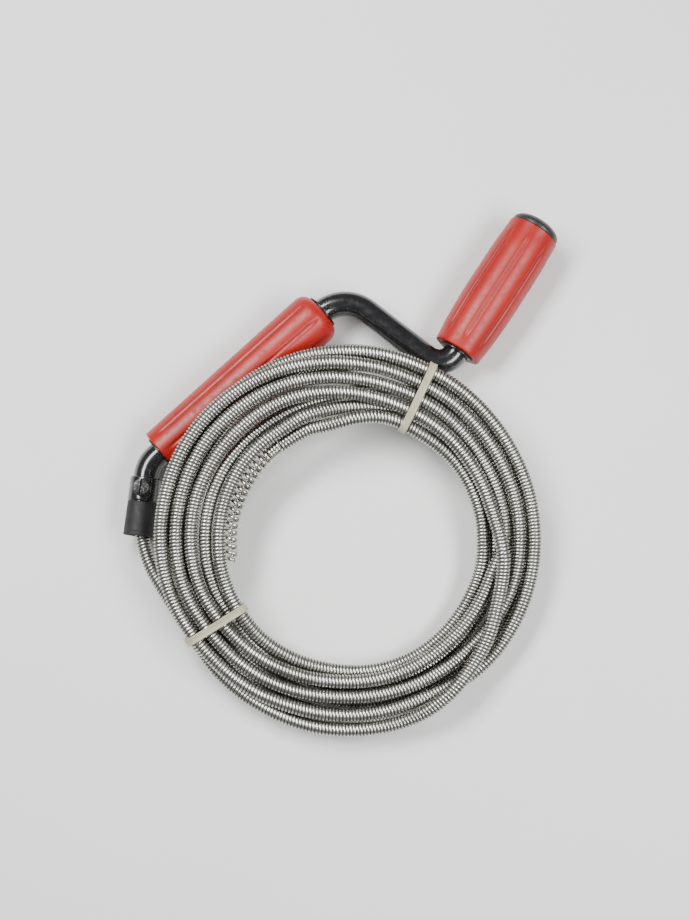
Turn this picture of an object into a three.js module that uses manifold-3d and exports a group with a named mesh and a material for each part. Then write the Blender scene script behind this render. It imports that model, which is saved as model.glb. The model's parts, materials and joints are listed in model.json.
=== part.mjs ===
// Hand-cranked drain auger, millimetres, +Z up, lying on the plane z = 0.
// A bent steel tube carries two turning grips. A clamp holds one end of a close-wound
// spring cable in the tube's mouth. The cable is tied in a two-layer coil, which leans
// on the front grip, and it ends in an open-wound auger head inside the coil.
import * as THREE from 'three';
import { mergeVertices } from 'three/addons/utils/BufferGeometryUtils.js';
import Module from 'manifold-3d';

const wasm = await Module();
wasm.setup();

// ---- Driving dimensions ----

const GAP = 0.3;                      // between pieces that meet
const TUBE_RADIUS = 8;                // crank tube, 16 mm outside
const TUBE_BORE = 6.5;
const FRONT_BEND_RADIUS = 23;         // where the throw leaves the front grip
const REAR_BEND_RADIUS = 12.5;        // where it meets the rear grip's leg
const SPOUT_BEND_RADIUS = 20;
const TURNING_BORE = TUBE_RADIUS + 0.45;

// Plan of the crank, measured from the centre of the cable coil.
const FRONT_GRIP_START = new THREE.Vector2(-117.96, 56.98);
const FRONT_HEADING = 41.6;           // degrees from +X
const THROW_HEADING = -38.3;
const REAR_HEADING = 57.1;
const SPOUT_HEADING = 263;
const SPOUT_CORNER_BEFORE_GRIP = 11;
const THROW_CORNER_AFTER_START = 153.2;
const THROW_LENGTH = 80.9;
const REAR_GRIP_AFTER_CORNER = 15;

// The crank's plane leans a little, so that both grips touch the surface below.
const CRANK_HEIGHT = 15.1;            // of the front grip's axis at its start
const CRANK_RISE_X = 0.0068;
const CRANK_RISE_Y = 0.0145;

const FRONT_GRIP_LENGTH = 134.4;
const FRONT_GRIP_START_RADIUS = 15;
const FRONT_GRIP_END_RADIUS = 17;
const REAR_GRIP_LENGTH = 91.5;
const REAR_GRIP_BASE_RADIUS = 15.8;
const REAR_GRIP_BULGE_RADIUS = 18;
const REAR_GRIP_SHOULDER = 77.6;      // depth of the bore, below the counterbore
const COUNTERBORE_RADIUS = 11.6;
const REAR_GRIP_END_RADIUS = 16.3;
const WASHER_THICKNESS = 0.9;

// Stations along the spout, from the end of its bend to the sleeve's mouth.
const SPOUT_TUBE_END = 34;
const SLEEVE_MOUTH = 38.4;
const COLLAR_START = 1.5;
const COLLAR_END = 16.5;
const CLAMP_STATION = 8.5;
const FERRULE_START = 3;
const FERRULE_END = 17;
const SLEEVE_RADIUS = 9.5;
const COLLAR_RADIUS = 9.75;

// M6 clamp screw.
const SCREW_RADIUS = 2.95;
const SCREW_HOLE = 3.3;
const SCREW_HEAD_RADIUS = 5;

// The cable and its coil.
const CABLE_RADIUS = 4.5;
const COIL_INNER_RADIUS = 78;
const COIL_OUTER_RADIUS = 123.5;
const COIL_THICKNESS = 18;            // two layers
const COIL_LEAN = 7.91;               // degrees
const COIL_LEAN_TOWARDS = 117;        // the heading in which the coil's plane rises
const COIL_FLOOR_GAP = 0.2;
const TOP_LAYER_HEIGHT = 13.5;
const HEAD_RADIUS = 5;
const HEAD_CIRCLE = 72;               // radius on which the head lies inside the coil
const HEAD_ANGLES = [126, 191];
const TAIL_ANGLES = [97, 125];
const HEAD_LEVEL = 9;                 // above the coil's underside
const TIE_WIDTH = 4.8;
const TIE_THICKNESS = 1.3;
const TIE_ANGLES = { coil_tie_left: 212.3, coil_tie_right: 64.5 };

// The row's origin is below the middle of the handle's own box.
const HANDLE_MIDDLE = new THREE.Vector3(-4.177, 106.348, -0.067);

// ---- Materials ----

const material = (color, roughness, metalness) => (
  new THREE.MeshStandardMaterial({ color, roughness, metalness })
);
const blackPaint = () => material(0x17181a, 0.28, 0.1);
const blackOxide = () => material(0x26272a, 0.4, 0.6);
const blackVinyl = () => material(0x232427, 0.75, 0);
const redPlastic = () => material(0xe8403a, 0.42, 0);
const zincSteel = () => material(0xb9bcbd, 0.35, 0.9);
const nylon = () => material(0xd9d3bd, 0.5, 0);
const brass = () => material(0xb99a54, 0.4, 0.9);

// ---- Helpers ----

const layout = new THREE.Group();
layout.position.copy(HANDLE_MIDDLE).negate();

function addMesh(parent, name, geometry, surface) {
  const mesh = new THREE.Mesh(geometry, surface);
  mesh.name = name;
  parent.add(mesh);
  return mesh;
}

function toSolid(geometry) {
  const bare = geometry.clone();
  bare.deleteAttribute('normal');
  bare.deleteAttribute('uv');
  const merged = mergeVertices(bare, 1e-4);
  return new wasm.Manifold(new wasm.Mesh({
    numProp: 3,
    vertProperties: new Float32Array(merged.attributes.position.array),
    triVerts: new Uint32Array(merged.index.array),
  }));
}

function toGeometry(solid) {
  const mesh = solid.getMesh();
  const geometry = new THREE.BufferGeometry();
  geometry.setAttribute('position', new THREE.BufferAttribute(mesh.vertProperties, 3));
  geometry.setIndex(new THREE.BufferAttribute(mesh.triVerts, 1));
  geometry.computeVertexNormals();
  return geometry;
}

// Turns a list of [radius, height] pairs about +Z.
function turned(profile, segments) {
  const points = profile.map(([radius, height]) => new THREE.Vector2(radius, height));
  return new THREE.LatheGeometry(points, segments).rotateX(Math.PI / 2);
}

function ringProfile(inner, outer, low, high) {
  return [[inner, low], [outer, low], [outer, high], [inner, high], [inner, low]];
}

function unit(degrees) {
  const angle = THREE.MathUtils.degToRad(degrees);
  return new THREE.Vector2(Math.cos(angle), Math.sin(angle));
}

function moved(point, heading, distance) {
  return point.clone().addScaledVector(unit(heading), distance);
}

// Puts a point of the plan on the crank's leaning plane.
function onCrank(point) {
  const rise = CRANK_RISE_X * (point.x - FRONT_GRIP_START.x) + CRANK_RISE_Y * (point.y - FRONT_GRIP_START.y);
  return new THREE.Vector3(point.x, point.y, CRANK_HEIGHT + rise);
}

// A group with +Z along a heading in the crank's plane and +Y square to the plane.
function axisGroup(start, heading) {
  const group = new THREE.Group();
  const origin = onCrank(start);
  const along = onCrank(moved(start, heading, 1)).sub(origin).normalize();
  const normal = new THREE.Vector3(-CRANK_RISE_X, -CRANK_RISE_Y, 1).normalize();
  const side = new THREE.Vector3().crossVectors(normal, along);
  group.position.copy(origin);
  group.quaternion.setFromRotationMatrix(new THREE.Matrix4().makeBasis(side, normal, along));
  layout.add(group);
  return group;
}

// A curve through stations, each of which becomes one section of an extrusion.
class StationPath extends THREE.Curve {
  constructor(stations) {
    super();
    this.stations = stations;
  }

  getUtoTmapping(u) {
    return u;
  }

  getPoint(t, target = new THREE.Vector3()) {
    const spans = this.stations.length - 1;
    const span = Math.min(Math.floor(t * spans), spans - 1);
    return target.lerpVectors(this.stations[span], this.stations[span + 1], t * spans - span);
  }
}

function circleSection(radius, bore = 0) {
  const section = new THREE.Shape().absarc(0, 0, radius, 0, 2 * Math.PI);
  if (bore > 0) {
    section.holes.push(new THREE.Path().absarc(0, 0, bore, 0, 2 * Math.PI, true));
  }
  return section;
}

function tubeAlong(stations, section, sides) {
  return new THREE.ExtrudeGeometry(section, {
    steps: stations.length - 1,
    extrudePath: new StationPath(stations),
    curveSegments: sides / 2,
    bevelEnabled: false,
  });
}

// The stations of a round bend between two headings.
function bendStations(corner, headingIn, headingOut, radius, pieces) {
  const turn = headingOut - headingIn;
  const tangent = radius * Math.tan(THREE.MathUtils.degToRad(Math.abs(turn) / 2));
  const start = moved(corner, headingIn, -tangent);
  const centre = moved(start, headingIn + 90 * Math.sign(turn), radius);
  return Array.from({ length: pieces + 1 }, (_, index) => (
    moved(centre, headingIn - 90 * Math.sign(turn) + (turn * index) / pieces, radius)
  ));
}

// ---- Crank ----

const spoutCorner = moved(FRONT_GRIP_START, FRONT_HEADING, -SPOUT_CORNER_BEFORE_GRIP);
const frontCorner = moved(FRONT_GRIP_START, FRONT_HEADING, THROW_CORNER_AFTER_START);
const rearCorner = moved(frontCorner, THROW_HEADING, THROW_LENGTH);
const rearGripStart = moved(rearCorner, REAR_HEADING, REAR_GRIP_AFTER_CORNER);

const spoutBend = bendStations(
  spoutCorner, SPOUT_HEADING - 180, FRONT_HEADING, SPOUT_BEND_RADIUS, 5,
);
const spoutStart = spoutBend[0];

const spoutAxis = axisGroup(spoutStart, SPOUT_HEADING);
const frontAxis = axisGroup(FRONT_GRIP_START, FRONT_HEADING);
const rearAxis = axisGroup(rearGripStart, REAR_HEADING);

const clampAxis = new THREE.Group();
clampAxis.position.z = CLAMP_STATION;
clampAxis.rotation.x = -Math.PI / 2;
spoutAxis.add(clampAxis);
layout.updateMatrixWorld(true);

function crankTube() {
  const stations = [
    moved(spoutStart, SPOUT_HEADING, SPOUT_TUBE_END),
    ...spoutBend,
    moved(FRONT_GRIP_START, FRONT_HEADING, FRONT_GRIP_LENGTH / 2),
    ...bendStations(frontCorner, FRONT_HEADING, THROW_HEADING, FRONT_BEND_RADIUS, 10),
    ...bendStations(rearCorner, THROW_HEADING, REAR_HEADING, REAR_BEND_RADIUS, 9),
    moved(rearGripStart, REAR_HEADING, REAR_GRIP_SHOULDER + 0.5),
  ];
  const section = circleSection(TUBE_RADIUS, TUBE_BORE);
  const tube = toSolid(tubeAlong(stations.map(onCrank), section, 20));
  const drill = new THREE.CylinderGeometry(SCREW_HOLE, SCREW_HOLE, 12, 16).rotateX(Math.PI / 2);
  drill.translate(0, 0, 10);
  drill.applyMatrix4(clampAxis.matrixWorld);
  drill.applyMatrix4(layout.matrixWorld.clone().invert());
  addMesh(layout, 'crank_tube', toGeometry(tube.subtract(toSolid(drill))), blackPaint());
}

// ---- Clamp and sleeve on the spout ----

function clampCollar() {
  const bore = TUBE_RADIUS + GAP;
  const chamfer = 0.9;
  const ring = toSolid(turned([
    [bore, COLLAR_START],
    [COLLAR_RADIUS - chamfer, COLLAR_START],
    [COLLAR_RADIUS, COLLAR_START + chamfer],
    [COLLAR_RADIUS, COLLAR_END - chamfer],
    [COLLAR_RADIUS - chamfer, COLLAR_END],
    [bore, COLLAR_END],
    [bore, COLLAR_START],
  ], 32));
  const bossTop = 12.4;
  const bossRadius = 5.6;
  const uprightAt = (geometry) => (
    geometry.rotateX(-Math.PI / 2).translate(0, 0, CLAMP_STATION)
  );
  const boss = toSolid(uprightAt(turned([
    [0, TUBE_RADIUS + 0.8],
    [bossRadius, TUBE_RADIUS + 0.8],
    [bossRadius, bossTop - 0.5],
    [bossRadius - 0.5, bossTop],
    [0, bossTop],
  ], 24)));
  const hole = toSolid(uprightAt(turned([[0, 5], [SCREW_HOLE, 5], [SCREW_HOLE, 14], [0, 14]], 16)));
  const clearance = toSolid(turned([[0, 0], [bore, 0], [bore, 20], [0, 20]], 32));
  const solid = ring.add(boss).subtract(hole).subtract(clearance);
  addMesh(spoutAxis, 'clamp_collar', toGeometry(solid), blackPaint());
}

function slottedScrew(shankLow, shankHigh, headHeight) {
  const headTop = shankHigh + headHeight;
  const screw = toSolid(turned([
    [0, shankLow],
    [SCREW_RADIUS - 0.5, shankLow],
    [SCREW_RADIUS, shankLow + 0.5],
    [SCREW_RADIUS, shankHigh],
    [SCREW_HEAD_RADIUS, shankHigh],
    [SCREW_HEAD_RADIUS, headTop - 0.6],
    [SCREW_HEAD_RADIUS - 0.6, headTop],
    [0, headTop],
  ], 24));
  const slot = new THREE.BoxGeometry(1.4, 3 * SCREW_HEAD_RADIUS, 3.2).translate(0, 0, headTop);
  return toGeometry(screw.subtract(toSolid(slot)));
}

function clampPieces() {
  const padLow = TUBE_BORE;
  const padHigh = 8.3;
  const pad = turned([[0, padLow], [SCREW_RADIUS, padLow], [SCREW_RADIUS, padHigh], [0, padHigh]], 16);
  addMesh(clampAxis, 'clamp_pad', pad, brass());
  addMesh(clampAxis, 'clamp_screw', slottedScrew(padHigh + GAP, 13.4, 3.8), blackOxide());
  const ferrule = turned(ringProfile(CABLE_RADIUS + GAP, TUBE_BORE - GAP, FERRULE_START, FERRULE_END), 20);
  addMesh(spoutAxis, 'cable_root_ferrule', ferrule, zincSteel());
}

function spoutSleeve() {
  const low = COLLAR_END + GAP;
  const lip = SPOUT_TUBE_END + GAP;
  const bore = TUBE_RADIUS + GAP;
  const lipBore = 7.6;
  const round = 0.5;
  addMesh(spoutAxis, 'spout_sleeve', turned([
    [bore, low],
    [SLEEVE_RADIUS - round, low],
    [SLEEVE_RADIUS, low + round],
    [SLEEVE_RADIUS, SLEEVE_MOUTH - round],
    [SLEEVE_RADIUS - round, SLEEVE_MOUTH],
    [lipBore, SLEEVE_MOUTH],
    [lipBore, lip],
    [bore, lip],
    [bore, low],
  ], 28), blackVinyl());
}

// ---- Front grip ----

function frontGrip() {
  const domeStart = FRONT_GRIP_LENGTH - 7.5;
  const domeRadius = 6.5;
  const outline = [
    [TURNING_BORE, 0],
    [FRONT_GRIP_START_RADIUS - 0.9, 0],
    [FRONT_GRIP_START_RADIUS, 0.9],
    [FRONT_GRIP_END_RADIUS, domeStart],
  ];
  for (let index = 1; index <= 4; index += 1) {
    const angle = (Math.PI / 2) * (index / 4);
    outline.push([
      FRONT_GRIP_END_RADIUS - domeRadius * (1 - Math.cos(angle)),
      domeStart + (FRONT_GRIP_LENGTH - domeStart) * Math.sin(angle),
    ]);
  }
  outline.push([TURNING_BORE, FRONT_GRIP_LENGTH], [TURNING_BORE, 0]);
  addMesh(frontAxis, 'front_grip', turned(outline, 32), redPlastic());
}

function tubeWasher(axis, name, low) {
  const profile = ringProfile(TURNING_BORE, TUBE_RADIUS + 3.4, low, low + WASHER_THICKNESS);
  addMesh(axis, name, turned(profile, 24), blackOxide());
}

// ---- Rear grip ----

function rearGrip() {
  const side = new THREE.SplineCurve([
    new THREE.Vector2(REAR_GRIP_BASE_RADIUS, 1),
    new THREE.Vector2(REAR_GRIP_BASE_RADIUS + 1.3, 15),
    new THREE.Vector2(REAR_GRIP_BULGE_RADIUS, 40),
    new THREE.Vector2(REAR_GRIP_BULGE_RADIUS - 0.2, 72),
    new THREE.Vector2(REAR_GRIP_END_RADIUS + 0.5, REAR_GRIP_LENGTH - 0.5),
  ]);
  addMesh(rearAxis, 'rear_grip', turned([
    [TURNING_BORE, 0],
    [REAR_GRIP_BASE_RADIUS - 0.9, 0],
    ...side.getPoints(14).map((point) => [point.x, point.y]),
    [REAR_GRIP_END_RADIUS, REAR_GRIP_LENGTH],
    [COUNTERBORE_RADIUS, REAR_GRIP_LENGTH],
    [COUNTERBORE_RADIUS, REAR_GRIP_SHOULDER],
    [TURNING_BORE, REAR_GRIP_SHOULDER],
    [TURNING_BORE, 0],
  ], 32), redPlastic());
}

function rearRetainer() {
  const tubeEnd = REAR_GRIP_SHOULDER + 0.5;
  const washerLow = tubeEnd + GAP;
  const washerHigh = washerLow + 1.5;
  const insert = ringProfile(SCREW_HOLE, TUBE_BORE - GAP, tubeEnd - 15, tubeEnd);
  addMesh(rearAxis, 'tube_end_insert', turned(insert, 20), zincSteel());
  const washer = ringProfile(SCREW_HOLE, COUNTERBORE_RADIUS - 0.6, washerLow, washerHigh);
  addMesh(rearAxis, 'rear_retaining_washer', turned(washer, 24), zincSteel());
  const screw = slottedScrew(tubeEnd - 17, washerHigh + GAP, 3.4);
  addMesh(rearAxis, 'rear_retaining_screw', screw, zincSteel());
}

function rearEndPlug() {
  const skirt = COUNTERBORE_RADIUS - GAP;
  const rim = REAR_GRIP_END_RADIUS - 0.3;
  const seat = REAR_GRIP_LENGTH + GAP;
  const outline = [[0, seat - 2.5], [skirt - 1.8, seat - 2.5], [skirt - 1.8, seat - 5], [skirt, seat - 5]];
  outline.push([skirt, seat], [rim, seat]);
  for (let index = 0; index <= 6; index += 1) {
    const angle = (Math.PI / 2) * (index / 6);
    outline.push([rim * Math.cos(angle), seat + 1.5 + 6.5 * Math.sin(angle)]);
  }
  outline[outline.length - 1][0] = 0;
  addMesh(rearAxis, 'rear_end_plug', turned(outline, 24), blackVinyl());
}

// ---- Cable, coil and head ----

// Where the cable runs: [station, distance from the spout's axis towards the coil] inside the spout,
// then its route from the sleeve's mouth to below the coil's outer turns.
const CABLE_IN_SPOUT = [[CLAMP_STATION, 0], [17, 0], [23, 0.3], [29, 0.9], [34, 1.7], [SLEEVE_MOUTH, 2.8]];
const CABLE_LEAD_ROUTE = [
  [-128.5, 0.6, 14.3],
  [-127.8, -2.6, 14.4],
  [-126.9, -5.6, 14.5],
  [-125.9, -8.7, 14.8],
  [-124.8, -11.7, 15.1],
  [-123.5, -14.6, 15.4],
  [-122.1, -17.5, 15.8],
  [-120.5, -20.3, 16.3],
  [-118.9, -23.0, 16.9],
];

const coilFrame = new THREE.Group();

function placeCoilFrame() {
  const lean = THREE.MathUtils.degToRad(COIL_LEAN);
  const uphill = unit(COIL_LEAN_TOWARDS);
  const middle = uphill.clone().multiplyScalar(TOP_LAYER_HEIGHT * Math.sin(lean));
  const height = COIL_OUTER_RADIUS * Math.sin(lean) + COIL_FLOOR_GAP;
  coilFrame.position.set(middle.x, middle.y, height);
  const normal = new THREE.Vector3(-uphill.x * Math.sin(lean), -uphill.y * Math.sin(lean), Math.cos(lean));
  coilFrame.quaternion.setFromUnitVectors(new THREE.Vector3(0, 0, 1), normal);
  layout.add(coilFrame);
}

function arcStations(radius, height, from, to, pieces) {
  return Array.from({ length: pieces + 1 }, (_, index) => {
    const point = unit(from + ((to - from) * index) / pieces).multiplyScalar(radius);
    return new THREE.Vector3(point.x, point.y, height);
  });
}

function cable() {
  const section = circleSection(CABLE_RADIUS);
  const inSpout = CABLE_IN_SPOUT.map(([station, offset]) => (
    onCrank(moved(moved(spoutStart, SPOUT_HEADING, station), SPOUT_HEADING + 90, offset))
  ));
  const lead = [...inSpout, ...CABLE_LEAD_ROUTE.map((point) => new THREE.Vector3(...point))];
  addMesh(layout, 'cable_lead', tubeAlong(lead, section, 10), zincSteel());
  const ring = ringProfile(COIL_INNER_RADIUS, COIL_OUTER_RADIUS, 0, COIL_THICKNESS);
  addMesh(coilFrame, 'cable_coil', turned(ring, 64), zincSteel());
  const tail = arcStations(HEAD_CIRCLE, HEAD_LEVEL, ...TAIL_ANGLES, 4);
  addMesh(coilFrame, 'cable_tail', tubeAlong(tail, section, 10), zincSteel());
  const head = arcStations(HEAD_CIRCLE, HEAD_LEVEL, ...HEAD_ANGLES, 8);
  addMesh(coilFrame, 'auger_head', tubeAlong(head, circleSection(HEAD_RADIUS), 12), zincSteel());
}

// A nylon tie: a flat strap around the coil's section, with its head below the coil.
function roundedLoop(target, low, high, bottom, top, radius) {
  target.moveTo(low + radius, bottom);
  target.lineTo(high - radius, bottom);
  target.absarc(high - radius, bottom + radius, radius, -Math.PI / 2, 0);
  target.lineTo(high, top - radius);
  target.absarc(high - radius, top - radius, radius, 0, Math.PI / 2);
  target.lineTo(low + radius, top);
  target.absarc(low + radius, top - radius, radius, Math.PI / 2, Math.PI);
  target.lineTo(low, bottom + radius);
  target.absarc(low + radius, bottom + radius, radius, Math.PI, 1.5 * Math.PI);
  return target;
}

function coilTie(name, angle) {
  const clear = 0.4;
  const low = COIL_INNER_RADIUS - clear;
  const high = COIL_OUTER_RADIUS + clear;
  const top = COIL_THICKNESS + clear;
  const t = TIE_THICKNESS;
  const strap = roundedLoop(new THREE.Shape(), low - t, high + t, -clear - t, top + t, t + 0.2);
  strap.holes.push(roundedLoop(new THREE.Path(), low, high, -clear, top, 0.2));
  const loop = new THREE.ExtrudeGeometry(strap, { depth: TIE_WIDTH, curveSegments: 3, bevelEnabled: false });
  loop.translate(0, 0, -TIE_WIDTH / 2).rotateX(Math.PI / 2);
  const middle = (low + high) / 2;
  const head = new THREE.BoxGeometry(6.5, 8, 4.6).translate(middle, 0, -clear - t / 2 - 2.3);
  const solid = toSolid(loop).add(toSolid(head));
  const mesh = addMesh(coilFrame, name, toGeometry(solid), nylon());
  mesh.rotation.z = THREE.MathUtils.degToRad(angle);
}

// ---- Assembly ----

crankTube();
clampCollar();
clampPieces();
spoutSleeve();
frontGrip();
tubeWasher(frontAxis, 'front_grip_washer_front', -GAP - WASHER_THICKNESS);
tubeWasher(frontAxis, 'front_grip_washer_rear', FRONT_GRIP_LENGTH + GAP);
rearGrip();
tubeWasher(rearAxis, 'rear_grip_washer', -GAP - WASHER_THICKNESS);
rearRetainer();
rearEndPlug();
placeCoilFrame();
cable();
for (const [name, angle] of Object.entries(TIE_ANGLES)) {
  coilTie(name, angle);
}

const group = new THREE.Group();
group.add(layout);

export default group;
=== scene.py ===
import json
import math

import bpy
import numpy as np
from mathutils import Matrix, Vector


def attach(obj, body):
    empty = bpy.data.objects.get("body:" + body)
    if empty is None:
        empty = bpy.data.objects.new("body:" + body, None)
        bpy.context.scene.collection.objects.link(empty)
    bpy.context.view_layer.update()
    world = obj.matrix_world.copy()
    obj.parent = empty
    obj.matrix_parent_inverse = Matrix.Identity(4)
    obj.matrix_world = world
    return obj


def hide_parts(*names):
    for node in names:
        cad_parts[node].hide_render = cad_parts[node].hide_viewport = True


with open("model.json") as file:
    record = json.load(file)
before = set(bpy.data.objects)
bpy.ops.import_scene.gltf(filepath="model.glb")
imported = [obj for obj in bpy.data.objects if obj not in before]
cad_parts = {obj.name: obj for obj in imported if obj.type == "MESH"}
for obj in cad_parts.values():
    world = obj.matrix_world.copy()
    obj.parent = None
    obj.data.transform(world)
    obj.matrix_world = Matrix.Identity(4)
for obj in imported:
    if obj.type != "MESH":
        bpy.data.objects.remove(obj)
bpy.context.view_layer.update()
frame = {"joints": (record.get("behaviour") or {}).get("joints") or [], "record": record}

# A hand-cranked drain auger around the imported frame. Blender's unit is the metre, and
# lengths here are in millimetres wherever a name or a comment doesn't say otherwise.
MM = 0.001
RECORD = frame["record"]
JOINTS = {joint["name"]: joint for joint in frame["joints"]}
MOUTH = next(mount for mount in RECORD["mounts"] if mount["name"] == "sleeve_mouth")

# Clearances and sections of the crank, as in the CAD model.
GAP = 0.3
TUBE_RADIUS = 8
TUBE_BORE = 6.5
TURNING_BORE = 8.45
FRONT_BEND_RADIUS = 23
REAR_BEND_RADIUS = 12.5
SPOUT_BEND_RADIUS = 20
SPOUT_CORNER_BEFORE_GRIP = 11
THROW_CORNER_AFTER_START = 153.2
REAR_GRIP_AFTER_CORNER = 15

# The clamp and the sleeve. Stations, starts, ends and the mouth are distances along the spout,
# and tops are above its axis.
CLAMP_STATION = 8.5
COLLAR_START = 1.5
COLLAR_END = 16.5
COLLAR_RADIUS = 9.75
BOSS_RADIUS = 5.6
BOSS_TOP = 12.4
FERRULE_START = 3
FERRULE_END = 17
SPOUT_TUBE_END = 34
SLEEVE_START = 16.8
SLEEVE_MOUTH = 38.4
SLEEVE_RADIUS = 9.5
SLEEVE_LIP_BORE = 7.6

# The grips, from their starts.
FRONT_GRIP_LENGTH = 134.4
FRONT_GRIP_START_RADIUS = 15
FRONT_GRIP_END_RADIUS = 17
FRONT_DOME_LENGTH = 7.5
FRONT_DOME_RADIUS = 6.5
REAR_GRIP_LENGTH = 91.5
REAR_GRIP_BASE_RADIUS = 15.8
REAR_GRIP_BULGE_RADIUS = 18
REAR_GRIP_END_RADIUS = 16.3
REAR_GRIP_SHOULDER = 77.6
REAR_TUBE_END = REAR_GRIP_SHOULDER + 0.5
COUNTERBORE_RADIUS = 11.6
FLUTES = 8

# M6 screws, and washers.
SCREW_RADIUS = 2.95
SCREW_HOLE = 3.3
SCREW_HEAD_RADIUS = 5
CLAMP_PAD_TOP = 8.3
CLAMP_SCREW_SHANK = (8.6, 13.4)
CLAMP_SCREW_HEAD = 3.8
RETAINING_SCREW_LENGTH = 17           # below the tube's end
RETAINING_SCREW_HEAD = 3.4
TUBE_INSERT_LENGTH = 15
TUBE_WASHER_RADIUS = TUBE_RADIUS + 3.4
TUBE_WASHER_THICKNESS = 0.9
RETAINING_WASHER_RADIUS = 11
RETAINING_WASHER_THICKNESS = 1.5

# The cable, its open-wound head and the ties. Angles around the coil are degrees, counted on
# from turn to turn.
CABLE_RADIUS = 4.5
CABLE_INTO_HEAD = 3.4
WIRE_PITCH = 2.1
HEAD_RADIUS = 5
HEAD_WIRE_RADIUS = 1.05
HEAD_CIRCLE = 72
HEAD_LEVEL = 9
HEAD_TURNED = (3006, 3071)
TIE_WIDTH = 4.8
TIE_THICKNESS = 1.3
TIE_PLAY = 0.12
TIE_ANGLES = {"coil_tie_left": 212.3, "coil_tie_right": 64.5}

# The row's origin, which is below the middle of the handle, in metres from the plan's centre,
# which is the middle of the coil.
HANDLE_MIDDLE = Vector((-0.004177, 0.106348, -0.000067))

# Where the cable runs in the spout: station, and distance from the spout's axis towards the coil.
CABLE_IN_SPOUT = [
    (CLAMP_STATION, 0), (FERRULE_END, 0), (23, 0.3), (29, 0.9), (SPOUT_TUBE_END, 1.7),
    (SLEEVE_MOUTH, 2.8),
]

# The lead's route from the sleeve's mouth to below the coil's outer turns, in metres from the
# plan's centre.
CABLE_LEAD_ROUTE = [
    (-0.1285, 0.0006, 0.0143),
    (-0.1278, -0.0026, 0.0144),
    (-0.1269, -0.0056, 0.0145),
    (-0.1259, -0.0087, 0.0148),
    (-0.1248, -0.0117, 0.0151),
    (-0.1235, -0.0146, 0.0154),
    (-0.1221, -0.0175, 0.0158),
    (-0.1205, -0.0203, 0.0163),
    (-0.1189, -0.0230, 0.0169),
]

# Heights of the coil's layers above its underside.
LOWER, UPPER, TOP = 4.5, 13, 21

# How the cable lies in the coil: degrees around it, radius, and height above the underside.
COIL_TURNS = [
    (212, 112.5, LOWER), (222, 112.5, LOWER), (232, 113, 5.5), (242, 114, 8), (252, 115, 11),
    (264, 116, UPPER), (276, 116, 13.5), (288, 115, 16), (298, 112.5, 18.5), (308, 109.5, TOP),
    (341, 97.5, TOP), (350, 95.5, 20.5), (360, 93.5, 18), (372, 92, 14.5), (394, 89.5, UPPER),
    (423, 89, UPPER), (452, 92, UPPER), (475, 95, UPPER), (509, 96.5, UPPER), (540, 96.5, UPPER),
    (555, 95.5, UPPER),
    (572, 92.5, UPPER), (610, 87.5, UPPER), (630, 86, UPPER), (650, 86.5, UPPER), (680, 87.5, 12),
    (700, 90, 10.5), (720, 93.5, 8.5), (735, 95, 10.5), (754, 96, UPPER), (783, 97.5, UPPER),
    (812, 100, UPPER), (835, 104.5, UPPER), (869, 107, UPPER), (900, 106, UPPER), (915, 105, UPPER),
    (932, 102, UPPER), (970, 97.5, UPPER), (990, 96, UPPER), (1010, 97, UPPER), (1030, 99, UPPER),
    (1050, 102.5, UPPER), (1070, 105, UPPER), (1080, 105.5, UPPER), (1143, 105.5, UPPER),
    (1160, 107.5, UPPER), (1200, 114, UPPER), (1229, 115.5, UPPER), (1260, 114, UPPER),
    (1310, 109, UPPER), (1330, 107.5, UPPER), (1350, 107, UPPER), (1370, 108, UPPER),
    (1405, 113.5, UPPER), (1440, 115, UPPER), (1503, 114.5, 12), (1530, 115.5, 8),
    (1560, 115, LOWER), (1600, 111.5, LOWER),
    (1653, 103, LOWER), (1691, 104.5, LOWER), (1720, 108.5, LOWER), (1750, 112, LOWER),
    (1863, 111.5, LOWER), (1940, 105.5, LOWER), (1986, 100, LOWER),
    (2013, 95, LOWER), (2051, 96, LOWER), (2090, 100.5, LOWER), (2120, 103.5, LOWER),
    (2200, 102, LOWER), (2230, 99, LOWER), (2258, 89.5, LOWER), (2285, 87, 5.5), (2310, 88, 9.5),
    (2335, 88, UPPER), (2355, 87.5, 12),
    (2375, 88, 8.5), (2401, 90.5, 5.5), (2430, 92, LOWER), (2500, 93, LOWER), (2559, 90, LOWER),
    (2580, 88.5, 5.5), (2596, 85, 8), (2612, 80.5, 11), (2635, 78.5, UPPER), (2669, 79.5, UPPER),
    (2725, 81, UPPER),
    (2750, 81.5, 9.5), (2790, 83, 7), (2850, 84.5, 7), (2880, 85, 8.5), (2943, 81, UPPER),
    (2972, 76, UPPER), (2988, 73.2, 10.6), (3005, 72, 9), (3072, 72, 9),
]
STATION_STEP = 3                      # degrees
HELD_UNTIL = 218                      # up to here, and from the next one on, the cable
HELD_FROM = 2988                      # keeps its wanted place
COIL_LEAN = 7.91                      # degrees
COIL_LEAN_TOWARDS = 117               # degrees from +X, where the coil is highest
COIL_INNER_RADIUS = 78
COIL_OUTER_RADIUS = 123.5
COIL_FLOOR_GAP = 0.2
TOP_LAYER_HEIGHT = 13.5

# The photo's camera, as estimated, and the lights, in metres.
CAMERA_TARGET = Vector((0.00138, -0.05585, 0.030))
CAMERA_DISTANCE = 0.9
CAMERA_ELEVATION = 83                 # degrees
CAMERA_LENS = 57                      # millimetres on a sensor 36 mm high
LIGHTS_AIM = (0, -0.06, 0)
LIGHT_SIZE = (0.9, 0.35)


# ---- Frames and lines ----

def axis_frame(origin, along, up):
    """A matrix with +Z along an axis and +Y square to the crank's plane."""
    along = along.normalized()
    side = up.cross(along).normalized()
    up = along.cross(side)
    columns = (side, up, along)
    turn = Matrix([[column[row] for column in columns] for row in range(3)]).to_4x4()
    return Matrix.Translation(origin) @ turn


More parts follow.
